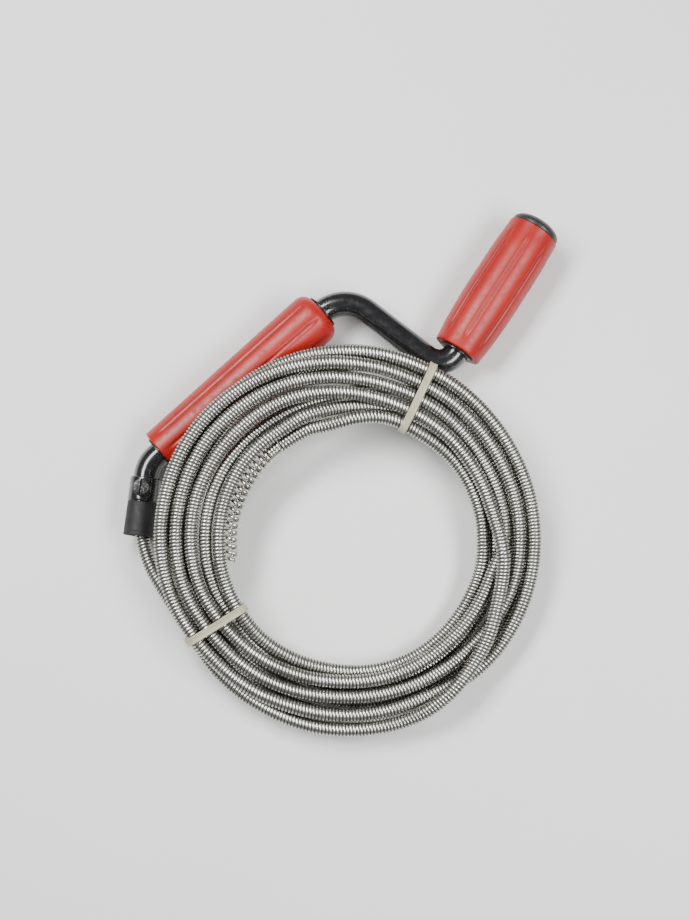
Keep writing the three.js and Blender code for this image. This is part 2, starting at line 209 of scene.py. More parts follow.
def coil_frame():
    """The coil's frame, with its origin on the coil's underside."""
    lean = math.radians(COIL_LEAN)
    heading = math.radians(COIL_LEAN_TOWARDS)
    uphill = Vector((math.cos(heading), math.sin(heading), 0))
    origin = uphill * TOP_LAYER_HEIGHT * math.sin(lean) * MM
    origin.z = (COIL_OUTER_RADIUS * math.sin(lean) + COIL_FLOOR_GAP) * MM
    normal = Vector((0, 0, math.cos(lean))) - uphill * math.sin(lean)
    turn = Vector((0, 0, 1)).rotation_difference(normal)
    return Matrix.Translation(origin - HANDLE_MIDDLE) @ turn.to_matrix().to_4x4()


CRANK_UP = Vector(JOINTS["clamp_travel"]["axis"])
SPOUT_ALONG = Vector(MOUTH["axis"])
CLAMP_POINT = Vector(JOINTS["clamp_screw_turn"]["pos_m"])
FRONT_POINT = Vector(JOINTS["front_grip_spin"]["pos_m"])
FRONT_ALONG = Vector(JOINTS["front_grip_spin"]["axis"])
REAR_POINT = Vector(JOINTS["rear_grip_spin"]["pos_m"])
REAR_ALONG = Vector(JOINTS["rear_grip_spin"]["axis"])

SPOUT = axis_frame(CLAMP_POINT - SPOUT_ALONG * CLAMP_STATION * MM, SPOUT_ALONG, CRANK_UP)
FRONT = axis_frame(FRONT_POINT, FRONT_ALONG, CRANK_UP)
REAR = axis_frame(REAR_POINT, REAR_ALONG, CRANK_UP)
CLAMP = axis_frame(CLAMP_POINT, CRANK_UP, -SPOUT_ALONG)
COIL = coil_frame()


def moved_points(matrix, points):
    """Points in millimetres, through a matrix, into the row frame in metres."""
    points = np.asarray(points, float) * MM
    matrix = np.array(matrix)
    return points @ matrix[:3, :3].T + matrix[:3, 3]


def between(start, end, start_slope, end_slope, step, t):
    """A cubic curve from one value to the next, at shares t of the step between them."""
    return (
        (2 * t**3 - 3 * t**2 + 1) * start
        + (t**3 - 2 * t**2 + t) * step * start_slope
        + (3 * t**2 - 2 * t**3) * end
        + (t**3 - t**2) * step * end_slope
    )


def smooth_line(points, spacing, finer=4):
    """A smooth line through points, resampled at an even spacing."""
    points = np.asarray(points, float)
    spans = np.linalg.norm(np.diff(points, axis=0), axis=1)
    knots = np.concatenate([[0], np.cumsum(np.sqrt(spans))])
    slopes = np.gradient(points, knots, axis=0)
    line = []
    for index, span in enumerate(np.diff(knots)):
        pieces = max(2, math.ceil(spans[index] / spacing * finer))
        t = (np.arange(pieces) / pieces)[:, None]
        line.append(between(*points[index:index + 2], *slopes[index:index + 2], span, t))
    return even_line(np.concatenate([*line, points[-1:]]), spacing)


def even_line(points, spacing):
    along = np.concatenate([[0], np.cumsum(np.linalg.norm(np.diff(points, axis=0), axis=1))])
    stations = np.linspace(0, along[-1], max(2, round(along[-1] / spacing) + 1))
    return np.stack([np.interp(stations, along, points[:, axis]) for axis in range(3)], 1)


def line_length(points):
    return float(np.linalg.norm(np.diff(points, axis=0), axis=1).sum())


def line_frames(points, first_side):
    """A line's own direction at its points, and two square to it that turn as little as they can."""
    tangents = np.gradient(points, axis=0)
    tangents /= np.linalg.norm(tangents, axis=1)[:, None]
    sides = np.empty_like(points)
    side = np.asarray(first_side, float)
    for index, tangent in enumerate(tangents):
        side = side - tangent * (side @ tangent)
        side = side / np.linalg.norm(side)
        sides[index] = side
    return tangents, sides, np.cross(tangents, sides)


# ---- Meshes ----

def add_object(name, data):
    thing = bpy.data.objects.new(name, data)
    bpy.context.scene.collection.objects.link(thing)
    return thing


def add_mesh(name, vertices, faces):
    mesh = bpy.data.meshes.new(name)
    mesh.from_pydata([tuple(vertex) for vertex in vertices], [], faces)
    return mesh


def shade(mesh, sharp=None):
    """Shades a mesh smooth, apart from edges that turn by more than an angle in degrees."""
    mesh.shade_smooth()
    if sharp is not None:
        mesh.set_sharp_from_angle(angle=math.radians(sharp))


def add_piece(name, vertices, faces, material, body, stands_for, sharp=None):
    mesh = add_mesh(name, vertices, faces)
    mesh.validate()
    shade(mesh, sharp)
    mesh.materials.append(material)
    piece = add_object(name, mesh)
    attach(piece, body)
    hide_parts(*stands_for)
    return piece


def add_attribute(piece, name, values):
    attribute = piece.data.attributes.new(name, "FLOAT", "POINT")
    attribute.data.foreach_set("value", np.asarray(values, np.float32).ravel())


def rounded(corners, pieces=5):
    """A closed profile of (radius, height, rounding) corners, with its corners rounded."""
    profile = []
    for index, (radius, height, rounding) in enumerate(corners):
        corner = np.array((radius, height), float)
        if rounding == 0:
            profile.append(tuple(corner))
            continue
        before = np.array(corners[index - 1][:2], float) - corner
        after = np.array(corners[(index + 1) % len(corners)][:2], float) - corner
        start = corner + before / np.linalg.norm(before) * rounding
        end = corner + after / np.linalg.norm(after) * rounding
        for step in range(pieces + 1):
            t = step / pieces
            profile.append(tuple((1 - t) ** 2 * start + 2 * t * (1 - t) * corner + t**2 * end))
    return profile


def turned_mesh(profile, sides, shape=None):
    """Vertices and faces of a profile turned about +Z. shape may change a vertex's radius."""
    vertices, rings = [], []
    for radius, height in profile:
        if radius == 0:
            rings.append([len(vertices)])
            vertices.append((0, 0, height))
            continue
        rings.append(list(range(len(vertices), len(vertices) + sides)))
        for side in range(sides):
            angle = 2 * math.pi * side / sides
            r = shape(radius, height, angle) if shape else radius
            vertices.append((r * math.cos(angle), r * math.sin(angle), height))
    pairs = list(zip(rings, rings[1:]))
    if len(rings[0]) > 1:
        pairs.append((rings[-1], rings[0]))
    faces = []
    for low, high in pairs:
        for side in range(sides):
            after = (side + 1) % sides
            corners = [low[side % len(low)], low[after % len(low)]]
            corners += [high[after % len(high)], high[side % len(high)]]
            faces.append([c for n, c in enumerate(corners) if c not in corners[:n]])
    return vertices, [face for face in faces if len(face) > 2]


def turned_piece(name, profile, place, material, body, sides=96, shape=None, sharp=40):
    vertices, faces = turned_mesh(profile, sides, shape)
    vertices = moved_points(place, vertices)
    return add_piece(name + "_shown", vertices, faces, material, body, [name], sharp)


def ring_faces(rings, count, closed=False):
    """Faces between rings of count points. Closed also joins the last ring to the first."""
    faces = []
    for ring in range(rings if closed else rings - 1):
        low, high = ring * count, (ring + 1) % rings * count
        for side in range(count):
            after = (side + 1) % count
            faces.append((low + side, low + after, high + after, high + side))
    return faces


def swept_mesh(line, frames, section):
    """Vertices and faces of a section swept along an open line, with a fan at each end."""
    _, sides, ups = frames
    section = np.asarray(section, float)
    count = len(section)
    vertices = (
        line[:, None, :]
        + sides[:, None, :] * section[None, :, 0:1]
        + ups[:, None, :] * section[None, :, 1:2]
    ).reshape(-1, 3)
    faces = ring_faces(len(line), count)
    vertices = np.concatenate([vertices, line[:1], line[-1:]])
    start, end = len(vertices) - 2, len(vertices) - 1
    last = (len(line) - 1) * count
    for side in range(count):
        after = (side + 1) % count
        faces.append((start, after, side))
        faces.append((end, last + side, last + after))
    return vertices, faces


def circle(radius, sides):
    angles = np.arange(sides) * 2 * math.pi / sides
    return np.stack([np.cos(angles), np.sin(angles)], 1) * radius


def cut(piece, vertices, faces, join=False):
    """Cuts a closed mesh out of a piece, or joins it to the piece."""
    tool = add_object("tool", add_mesh("tool", vertices, faces))
    modifier = piece.modifiers.new("cut", "BOOLEAN")
    modifier.object = tool
    modifier.operation = "UNION" if join else "DIFFERENCE"
    modifier.solver = "EXACT"
    apply_modifiers(piece)
    bpy.data.objects.remove(tool)


def apply_modifiers(piece):
    graph = bpy.context.evaluated_depsgraph_get()
    mesh = bpy.data.meshes.new_from_object(piece.evaluated_get(graph))
    piece.modifiers.clear()
    piece.data = mesh


# ---- Materials ----

class Surface:
    """A material made of nodes, starting from one Principled shader."""

    def __init__(self, name, **constants):
        self.material = bpy.data.materials.new(name)
        self.material.use_nodes = True
        self.tree = self.material.node_tree
        self.shader = self.tree.nodes["Principled BSDF"]
        self.place = self.node("ShaderNodeTexCoord").outputs["Object"]
        for name, value in constants.items():
            socket = name.replace("_", " ").title().replace("Ior", "IOR")
            self.shader.inputs[socket].default_value = value

    def node(self, kind, inputs=(), **settings):
        node = self.tree.nodes.new(kind)
        for name, value in settings.items():
            setattr(node, name, value)
        for socket, value in dict(inputs).items():
            if isinstance(value, bpy.types.NodeSocket):
                self.tree.links.new(value, node.inputs[socket])
            else:
                node.inputs[socket].default_value = value
        return node

    def noise(self, scale, detail=3, stretch=None):
        place = self.place
        if stretch:
            place = self.node("ShaderNodeMapping", {"Vector": place, "Scale": stretch}).outputs[0]
        inputs = {"Vector": place, "Scale": scale, "Detail": detail}
        return self.node("ShaderNodeTexNoise", inputs).outputs["Fac"]

    def attribute(self, name):
        return self.node("ShaderNodeAttribute", attribute_name=name).outputs["Fac"]

    def spread(self, value, low, high, to_low=0.0, to_high=1.0):
        inputs = {"Value": value, "From Min": low, "From Max": high}
        inputs |= {"To Min": to_low, "To Max": to_high}
        return self.node("ShaderNodeMapRange", inputs, clamp=True).outputs[0]

    def combine(self, operation, first, second):
        node = self.node("ShaderNodeMath", {0: first, 1: second}, operation=operation)
        return node.outputs[0]

    def mix(self, share, first, second):
        node = self.node("ShaderNodeMix", data_type="RGBA")
        for socket, value in ((0, share), (6, first), (7, second)):
            if isinstance(value, bpy.types.NodeSocket):
                self.tree.links.new(value, node.inputs[socket])
            else:
                node.inputs[socket].default_value = (*value, 1) if isinstance(value, tuple) else value
        return node.outputs[2]

    def drive(self, socket, value):
        self.tree.links.new(value, self.shader.inputs[socket])

    def bump(self, layers):
        """Stacks bumps of (height socket, depth in millimetres)."""
        normal = None
        for height, depth in layers:
            inputs = {"Height": height, "Distance": depth * MM, "Strength": 1.0}
            if normal:
                inputs["Normal"] = normal
            normal = self.node("ShaderNodeBump", inputs).outputs[0]
        self.drive("Normal", normal)


def spring_wire(name, dark):
    s = Surface(name, metallic=1.0)
    tarnish = s.spread(s.noise(45, 4), 0.35, 0.7)
    metal = s.mix(tarnish, (0.63, 0.625, 0.58), (0.46, 0.45, 0.40))
    # Painted shade: the valleys between the wire's turns are mixed towards the dark colour and made
    # rougher.
    depth = s.spread(s.attribute("groove"), 0.0, 0.62)
    s.drive("Base Color", s.mix(depth, metal, dark))
    shine = s.spread(s.noise(260, 3), 0.3, 0.7, 0.2, 0.34)
    s.drive("Roughness", s.combine("ADD", shine, s.combine("MULTIPLY", depth, 0.35)))
    s.bump([(s.noise(2600, 2), 0.03)])
    return s.material


def red_plastic():
    s = Surface(
        "red_plastic", subsurface_weight=0.05, subsurface_radius=(0.004, 0.0008, 0.0006),
        subsurface_scale=1.0, specular_ior_level=0.4,
    )
    tone = s.mix(s.spread(s.noise(38, 3), 0.3, 0.7), (0.37, 0.009, 0.005), (0.31, 0.007, 0.004))
    groove = s.attribute("groove")
    # Painted shade: the flutes are darkened in patches towards a deep red.
    painted_flute_shade = s.combine("MULTIPLY", groove, s.spread(s.noise(160, 4), 0.35, 0.75, 0.15, 0.55))
    s.drive("Base Color", s.mix(painted_flute_shade, tone, (0.15, 0.003, 0.002)))
    scuffs = s.spread(s.noise(90, 6, (1, 1, 3)), 0.56, 0.7)
    satin = s.spread(s.noise(420, 3), 0.3, 0.7, 0.34, 0.44)
    s.drive("Roughness", s.combine("ADD", satin, s.combine("MULTIPLY", scuffs, 0.16)))
    s.bump([(s.noise(1500, 2), 0.02), (s.noise(70, 2), 0.12)])
    return s.material


def black_paint():
    s = Surface("black_paint", coat_weight=0.7, coat_roughness=0.06, specular_ior_level=0.5)
    chips = s.spread(s.noise(900, 5), 0.635, 0.66)
    worn = s.combine("MULTIPLY", chips, s.attribute("wear"))
    tone = s.mix(s.spread(s.noise(120, 3), 0.35, 0.7), (0.0045, 0.0045, 0.005), (0.008, 0.008, 0.0085))
    s.drive("Base Color", s.mix(worn, tone, (0.22, 0.215, 0.205)))
    s.drive("Metallic", worn)
    s.drive("Roughness", s.spread(s.noise(240, 4), 0.3, 0.7, 0.18, 0.32))
    s.bump([(s.noise(420, 2), 0.035), (worn, -0.04)])
    return s.material


def black_vinyl():
    s = Surface("black_vinyl", specular_ior_level=0.4)
    patches = s.spread(s.noise(140, 4), 0.35, 0.7)
    s.drive("Base Color", s.mix(patches, (0.009, 0.009, 0.0095), (0.016, 0.016, 0.0165)))
    s.drive("Roughness", s.spread(s.noise(300, 4), 0.3, 0.7, 0.5, 0.68))
    s.bump([(s.noise(1900, 3), 0.05), (s.noise(160, 2), 0.08)])
    return s.material


def black_plastic():
    s = Surface("black_plastic", specular_ior_level=0.5)
    patches = s.spread(s.noise(110, 3), 0.35, 0.7)
    s.drive("Base Color", s.mix(patches, (0.013, 0.013, 0.014), (0.022, 0.022, 0.023)))
    s.drive("Roughness", s.spread(s.noise(360, 4), 0.3, 0.7, 0.34, 0.48))
    s.bump([(s.noise(2400, 2), 0.025)])
    return s.material


def zinc_steel():
    s = Surface("zinc_steel", metallic=1.0)
    bloom = s.spread(s.noise(120, 4), 0.35, 0.7)
    s.drive("Base Color", s.mix(bloom, (0.62, 0.63, 0.64), (0.50, 0.49, 0.46)))
    s.drive("Roughness", s.spread(s.noise(700, 4), 0.3, 0.7, 0.26, 0.42))
    s.bump([(s.noise(3200, 2), 0.015)])
    return s.material


def black_oxide():
    s = Surface("black_oxide", metallic=0.6, specular_ior_level=0.5)
    rubbed = s.spread(s.noise(800, 5), 0.58, 0.66)
    tone = s.mix(s.spread(s.noise(150, 3), 0.35, 0.7), (0.020, 0.020, 0.022), (0.036, 0.035, 0.034))
    s.drive("Base Color", s.mix(rubbed, tone, (0.16, 0.155, 0.15)))
    s.drive("Roughness", s.spread(s.noise(500, 4), 0.3, 0.7, 0.22, 0.4))
    s.bump([(s.noise(2800, 2), 0.015)])
    return s.material


def brass():
    s = Surface("brass", metallic=1.0)
    dulled = s.spread(s.noise(300, 4), 0.35, 0.7)
    s.drive("Base Color", s.mix(dulled, (0.62, 0.44, 0.17), (0.40, 0.27, 0.10)))
    s.drive("Roughness", s.spread(s.noise(900, 4), 0.3, 0.7, 0.28, 0.44))
    s.bump([(s.noise(3000, 2), 0.015)])
    return s.material


def nylon():
    s = Surface(
        "nylon", subsurface_weight=0.2, subsurface_radius=(0.003, 0.0025, 0.0018),
        subsurface_scale=1.0,
    )
    patches = s.spread(s.noise(150, 4), 0.3, 0.7)
    s.drive("Base Color", s.mix(patches, (0.43, 0.40, 0.28), (0.36, 0.33, 0.22)))
    s.drive("Roughness", s.spread(s.noise(500, 3), 0.3, 0.7, 0.38, 0.52))
    s.bump([(s.noise(1400, 3), 0.03)])
    return s.material


def pale_floor():
    s = Surface("pale_floor", specular_ior_level=0.3)
    s.drive("Base Color", s.mix(s.noise(9, 4), (0.80, 0.80, 0.79), (0.84, 0.84, 0.83)))
    s.drive("Roughness", s.spread(s.noise(60, 3), 0.3, 0.7, 0.65, 0.8))
    return s.material


# ---- Camera ----

def add_camera():
    data = bpy.data.cameras.new("camera")
    data.sensor_width = 36
    data.lens = CAMERA_LENS
    data.clip_start = 0.01
    camera = add_object("camera", data)
    tilt = math.radians(CAMERA_ELEVATION)
    back = Vector((0, -math.cos(tilt), math.sin(tilt)))
    camera.location = CAMERA_TARGET + back * CAMERA_DISTANCE
    camera.rotation_euler = (math.radians(90 - CAMERA_ELEVATION), 0, 0)
    bpy.context.scene.camera = camera


# ---- Cable ----

def eased(table, column, stations):
    """A column of a table, at stations, on a curve that never overshoots the table."""
    x = np.array([row[0] for row in table], float)
    y = np.array([row[column] for row in table], float)
    steps = np.diff(x)
    rises = np.diff(y) / steps
    slopes = np.zeros(len(x))
    for index in range(1, len(x) - 1):
        before, after = rises[index - 1], rises[index]
        if before * after > 0:
            near = 2 * steps[index] + steps[index - 1]
            far = steps[index] + 2 * steps[index - 1]
            slopes[index] = (near + far) / (near / before + far / after)
    span = np.clip(np.searchsorted(x, stations, side="right") - 1, 0, len(steps) - 1)
    t = (stations - x[span]) / steps[span]
    return between(y[span], y[span + 1], slopes[span], slopes[span + 1], steps[span], t)


def bent_back(line, share):
    """A line after a small step towards the even curve that its own stiffness pulls it to."""
    bend = np.zeros_like(line)
    bend[1:-1] = line[:-2] - 2 * line[1:-1] + line[2:]
    pull = np.zeros_like(line)
    pull[1:-1] = bend[:-2] - 2 * bend[1:-1] + bend[2:]
    return line - share * pull


def coil_stations():
    """Angle, radius and height of the cable at its stations, with its turns clear of each other.

    In each round the cable moves back towards its wanted place and sinks a little, its stiffness
    evens it out, and turns that overlap push each other apart.
    """
    rounds, pushes = 500, 3
    radius_pull, height_pull, sinking, stiffness = 0.03, 0.02, 0.01, 0.0875
    apart_by, push_share = 0.15, 0.35
    turned = np.arange(COIL_TURNS[0][0], COIL_TURNS[-1][0] + 1, STATION_STEP, dtype=float)
    wanted_radius = eased(COIL_TURNS, 1, turned)
    wanted_height = eased(COIL_TURNS, 2, turned)
    radius, height = wanted_radius.copy(), wanted_height.copy()
    reach = np.where(turned >= HEAD_TURNED[0], HEAD_RADIUS, CABLE_RADIUS)
    held = (turned <= HELD_UNTIL) | (turned >= HELD_FROM)
    per_turn = 360 // STATION_STEP
    laps = [per_turn * turn for turn in range(1, len(turned) // per_turn + 1)]
    for _ in range(rounds):
        radius = bent_back(radius + radius_pull * (wanted_radius - radius), stiffness)
        height = bent_back(height + height_pull * (wanted_height - height) - sinking, stiffness)
        for _ in range(pushes):
            push = np.zeros((2, len(turned)))
            for lap in laps:
                apart = np.array([radius[lap:] - radius[:-lap], height[lap:] - height[:-lap]])
                distance = np.hypot(*apart) + 1e-9
                overlap = np.clip(reach[lap:] + reach[:-lap] + apart_by - distance, 0, None)
                share = push_share * overlap * apart / distance
                push[:, lap:] += share
                push[:, :-lap] -= share
            radius = radius + push[0]
            height = np.maximum(height + push[1], CABLE_RADIUS)
            radius[held], height[held] = wanted_radius[held], wanted_height[held]
    return turned, radius, height


def cable_line(turned, radius, height):
    """The cable's centreline in the row frame, in metres, from the clamp to the auger head."""
    rounds, kept = 6, 12
    spout = moved_points(SPOUT, [(offset, 0, station) for station, offset in CABLE_IN_SPOUT])
    lead = np.array(CABLE_LEAD_ROUTE) - np.array(HANDLE_MIDDLE)
    cable = turned <= HEAD_TURNED[0]
    angle = np.radians(turned[cable])
    r, z = radius[cable], height[cable]
    coil = moved_points(COIL, np.stack([r * np.cos(angle), r * np.sin(angle), z], 1))
    onward = (coil[-1] - coil[-2]) / np.linalg.norm(coil[-1] - coil[-2])
    end = coil[-1] + onward * CABLE_INTO_HEAD * MM
    line = smooth_line(np.concatenate([spout, lead, coil, [end]]), MM)
    for _ in range(rounds):
        before, here, after = line[kept - 1:-kept - 1], line[kept:-kept], line[kept + 1:-kept + 1]
        line[kept:-kept] = (before + 2 * here + after) / 4
    return even_line(line, MM)


def wound_cable(line):
    """The outside of a close-wound spring: one wire that runs round the line as a helix.

    Each pitch of the wire has three samples, one in the valley and two on the wire's crown.
    """
    around, samples = 13, 3
    valley, crown = 3.72, 4.42
    ridge = np.array([valley, crown, crown]) * MM
    pitch = WIRE_PITCH * MM
    length = line_length(line)
    frames = line_frames(line, CRANK_UP)
    rings = int((length - pitch) / (pitch / samples))
    ring, side = np.meshgrid(np.arange(rings), np.arange(around), indexing="ij")
    along = ring * pitch / samples + pitch * side / around
    index = along / length * (len(line) - 1)
    low = np.minimum(index.astype(int), len(line) - 2)
    share = (index - low)[..., None]
    centre, sides, ups = (
        rows[low] * (1 - share) + rows[low + 1] * share for rows in (line, frames[1], frames[2])
    )
    angle = (side * 2 * math.pi / around)[..., None]
    radius = ridge[ring % samples][..., None]
    vertices = (centre + radius * (np.cos(angle) * sides + np.sin(angle) * ups)).reshape(-1, 3)

    def at(ring, side):
        return ring * around + side

    faces = []
    for r in range(rings - 1):
        for s in range(around - 1):
            faces.append((at(r, s), at(r, s + 1), at(r + 1, s + 1), at(r + 1, s)))
        if r + 1 + samples < rings:
            low = (at(r, around - 1), at(r + samples, 0))
            high = (at(r + 1 + samples, 0), at(r + 1, around - 1))
            faces.append(low + high)
    first = [at(0, s) for s in range(around)] + [at(r, 0) for r in range(samples, 0, -1)]
    last = [at(rings - 1, s) for s in range(around)]
    last += [at(r, around - 1) for r in range(rings - 2, rings - 2 - samples, -1)]
    start, end = len(vertices), len(vertices) + 1
    vertices = np.concatenate([vertices, vertices[first].mean(0)[None], vertices[last].mean(0)[None]])
    for n in range(len(first)):
        faces.append((start, first[(n + 1) % len(first)], first[n]))
    for n in range(len(last)):
        faces.append((end, last[n], last[(n + 1) % len(last)]))
    # The valley samples, which the wire's material darkens as painted shade.
    groove = np.append((ring % samples == 0).ravel(), [True, True])
    return vertices, faces, groove


def add_cable(line, material):
    vertices, faces, groove = wound_cable(line)
    nodes = ["cable_lead", "cable_coil", "cable_tail"]
    piece = add_piece("spring_cable", vertices, faces, material, "crank", nodes)
    add_attribute(piece, "groove", groove)
    return piece


def add_auger_head(material):
    """The open-wound head. Its first turns are close, and the wire's end turns in."""
    turns, steps = 20.5, 26
    close_turns, close_pitch, open_pitch, pitch_gain = 3, 2.15, 4.6, 1.2
    swell_shares = [0, 0.12, 0.45, 0.8, 0.965, 1]
    swell_radii = [3.4, 3.4, 3.95, 3.8, 3.3, 0.9]
    first, last = (math.radians(turned) for turned in HEAD_TURNED)
    reach = HEAD_CIRCLE * (last - first) - 2 * HEAD_WIRE_RADIUS
    t = np.linspace(0, 1, int(turns * steps) + 1)
    turn = t * turns
    opened = np.minimum(close_pitch + (turn - close_turns) * pitch_gain, open_pitch)
    pitch = np.where(turn < close_turns, close_pitch, opened)
    along = np.concatenate([[0], np.cumsum(pitch[:-1] / steps)])
    along = HEAD_WIRE_RADIUS + along * (reach / along[-1])
    swell = np.interp(t, swell_shares, swell_radii)
    angle = first + along / HEAD_CIRCLE
    spin = 2 * math.pi * turn
    r = HEAD_CIRCLE + swell * np.cos(spin)
    points = np.stack([r * np.cos(angle), r * np.sin(angle), HEAD_LEVEL + swell * np.sin(spin)], 1)
    line = moved_points(COIL, points)
    frames = line_frames(line, COIL.col[2].to_3d())
    vertices, faces = swept_mesh(line, frames, circle(HEAD_WIRE_RADIUS * MM, 12))
    piece = add_piece(
        "auger_head_shown", vertices, faces, material, "crank", ["auger_head"], 50,
    )
    add_attribute(piece, "groove", np.zeros(len(vertices)))
    return piece


# ---- Ties ----

def hull_around(circles, steps=240):
    """The taut loop around circles of one radius, as (direction, circle) pairs."""
    loop = []
    for step in range(steps):
        angle = 2 * math.pi * step / steps
        direction = np.array((math.cos(angle), math.sin(angle)))
        nearest = int(np.argmax(circles @ direction))
        if loop and loop[-1][1] != nearest:
            loop.append((direction, loop[-1][1]))
        loop.append((direction, nearest))
    return loop


def add_tie(name, turned, radius, height, material):
    degrees = TIE_ANGLES[name]
    cable = turned <= HEAD_TURNED[0]
    laps = np.arange(degrees, turned[cable][-1], 360)
    laps = laps[laps >= turned[0]]
    circles = np.stack([np.interp(laps, turned, radius), np.interp(laps, turned, height)], 1)
    loop = hull_around(circles)
    half = TIE_WIDTH / 2
    inner = CABLE_RADIUS + TIE_PLAY
    outer = inner + TIE_THICKNESS
    soft, edge, rim, floor, sunk = 0.25, 0.3, 0.75, 1.0, 0.22
    band = [
        (inner, -half + soft), (inner, half - soft), (inner + soft, half), (outer - edge, half),
        (outer, half - edge), (outer, half - rim), (outer - sunk, half - floor),
        (outer - sunk, -half + floor), (outer, -half + rim), (outer, -half + edge),
        (outer - edge, -half), (inner + soft, -half),
    ]
    place = COIL @ Matrix.Rotation(math.radians(degrees), 4, "Z")
    vertices = []
    for direction, nearest in loop:
        for reach, across in band:
            x, z = circles[nearest] + direction * reach
            vertices.append((x, across, z))
    faces = [(a, d, c, b) for a, b, c, d in ring_faces(len(loop), len(band), closed=True)]
    vertices = moved_points(place, vertices)
    piece = add_piece(name + "_shown", vertices, faces, material, "crank", [name], 50)
    add_tie_head(piece, place)
    return piece


def rounded_box(low, high, rounding, sides=6):
    """A box with all its edges rounded: a ball whose eight parts are moved into the corners."""
    low, high = np.array(low, float), np.array(high, float)
    middle, half = (low + high) / 2, (high - low) / 2
    rows, columns = 4 * sides, 8 * sides
    vertices = []
    for row in range(rows + 1):
        up = -math.pi / 2 + math.pi * row / rows
        for column in range(columns):
            turn = 2 * math.pi * column / columns
            east, north = math.cos(up) * math.cos(turn), math.cos(up) * math.sin(turn)
            ball = np.array((east, north, math.sin(up)))
            core = np.sign(np.round(ball, 6)) * (half - rounding)
            vertices.append(middle + core + ball * rounding)
    return vertices, ring_faces(rows + 1, columns)


def add_tie_head(piece, place):
    """The tie's square head below the coil, with the strap's cut end standing out of it."""
    middle = (COIL_INNER_RADIUS + COIL_OUTER_RADIUS) / 2
    long, wide, low, high = 3.25, 3.6, -5.6, -0.9
    end_from, end_to, end_wide, end_low, end_high = 3.0, 6.4, TIE_WIDTH / 2, -3.9, -2.6
    for corner, opposite, rounding in (
        ((middle - long, -wide, low), (middle + long, wide, high), 0.7),
        ((middle + end_from, -end_wide, end_low), (middle + end_to, end_wide, end_high), 0.35),
    ):
        vertices, faces = rounded_box(corner, opposite, rounding)
        cut(piece, moved_points(place, vertices), faces, join=True)
    shade(piece.data, 50)


# ---- Crank ----

def bent_line(corners, radii, spacing):
    """A line through corners, with a round bend of each radius at each inner corner."""
    line = [corners[0]]
    for before, corner, after, radius in zip(corners, corners[1:], corners[2:], radii):
        back, ahead = (before - corner).normalized(), (after - corner).normalized()
        half = back.angle(ahead) / 2
        tangent = radius / math.tan(half)
        centre = corner + (back + ahead).normalized() * (radius / math.sin(half))
        start = (corner + back * tangent - centre).normalized()
        end = (corner + ahead * tangent - centre).normalized()
        pieces = max(8, math.ceil(radius * (math.pi - 2 * half) / spacing))
        line += [centre + start.slerp(end, step / pieces) * radius for step in range(pieces + 1)]
    line.append(corners[-1])
    return np.array([tuple(point) for point in line])


def add_crank_tube(material):
    first = SPOUT @ Vector((0, 0, SPOUT_TUBE_END * MM))
    spout_corner = FRONT_POINT - FRONT_ALONG * SPOUT_CORNER_BEFORE_GRIP * MM
    front_corner = FRONT_POINT + FRONT_ALONG * THROW_CORNER_AFTER_START * MM
    rear_corner = REAR_POINT - REAR_ALONG * REAR_GRIP_AFTER_CORNER * MM
    last = REAR_POINT + REAR_ALONG * REAR_TUBE_END * MM
    corners = [first, spout_corner, front_corner, rear_corner, last]
    radii = [SPOUT_BEND_RADIUS * MM, FRONT_BEND_RADIUS * MM, REAR_BEND_RADIUS * MM]
    bends = bent_line(corners, radii, 0.7 * MM)
    line = even_line(bends, 1.2 * MM)
    around = 64
    frames = line_frames(line, CRANK_UP)
    angles = np.arange(around) * 2 * math.pi / around
    ends = [(0.5, 0.0), (0.15, 0.15), (0.0, 0.5)]
    rings = []
    for index in (0, len(line) - 1):
        inward = frames[0][index] * (1 if index == 0 else -1) * MM
        rings.append([(line[index] + inward * back, index, TUBE_RADIUS - less) for less, back in ends])
    outer = rings[0] + [(line[i], i, TUBE_RADIUS) for i in range(2, len(line) - 2)] + rings[1][::-1]
    inner = [(line[i], i, TUBE_BORE) for i in range(len(line) - 1, -1, -1)]
    vertices = []
    for centre, index, radius in outer + inner:
        across = frames[1][index] * radius * MM
        over = frames[2][index] * radius * MM
        vertices += [centre + across * math.cos(a) + over * math.sin(a) for a in angles]
    faces = ring_faces(len(outer) + len(inner), around, closed=True)
    piece = add_piece(
        "crank_tube_shown", vertices, faces, material, "crank", ["crank_tube"], 40,
    )
    add_attribute(piece, "wear", tube_wear(np.array([tuple(v) for v in vertices])))
    drill(piece, 4, 16, 48)
    shade(piece.data, 40)
    return piece


def tube_wear(points, reach=9.5, strength=1.4):
    """How far the paint is rubbed next to the grips, from 0 to 1."""
    wear = np.zeros(len(points))
    for place, station in ((FRONT, -1), (FRONT, FRONT_GRIP_LENGTH + 1), (REAR, -1)):
        centre = np.array(place @ Vector((0, 0, station * MM)))
        away = np.linalg.norm(points - centre, axis=1) / (reach * MM)
        wear = np.maximum(wear, np.exp(-away ** 4))
    return np.clip(wear * strength, 0, 1)


def drill(piece, low, high, sides):
    """Cuts the clamp screw's hole between two heights above the spout's axis."""
    profile = [(0, low), (SCREW_HOLE, low), (SCREW_HOLE, high), (0, high)]
    vertices, faces = turned_mesh(profile, sides)
    cut(piece, moved_points(CLAMP, vertices), faces)


